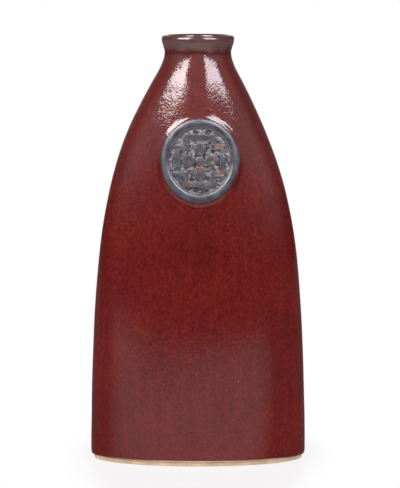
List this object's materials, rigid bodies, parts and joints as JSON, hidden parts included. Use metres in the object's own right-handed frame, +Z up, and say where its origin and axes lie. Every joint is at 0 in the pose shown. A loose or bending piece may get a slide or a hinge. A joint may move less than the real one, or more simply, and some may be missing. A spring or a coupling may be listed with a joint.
{
  "type": "stoneware vase",
  "caption": "Flattened oval bottle vase in red-glazed stoneware, with a short flared neck, a pressed relief medallion on the front and a bare clay foot.",
  "frame": {"origin": "middle of the foot, on the surface that the vase stands on", "axes": "+Z up, +X along the vase's width, -Y towards its front face, which carries the medallion"},
  "size_m": [0.1626, 0.0816, 0.32],
  "materials": {
    "red_glaze": "glossy, with a fine orange-peel surface",
    "bare_clay": "matt, unglazed",
    "slate_glaze": "satin"
  },
  "bodies": {
    "root": {"body_wall": "red_glaze", "neck_collar": "red_glaze", "base_slab": "bare_clay", "medallion": "slate_glaze"}
  },
  "joints": []
}
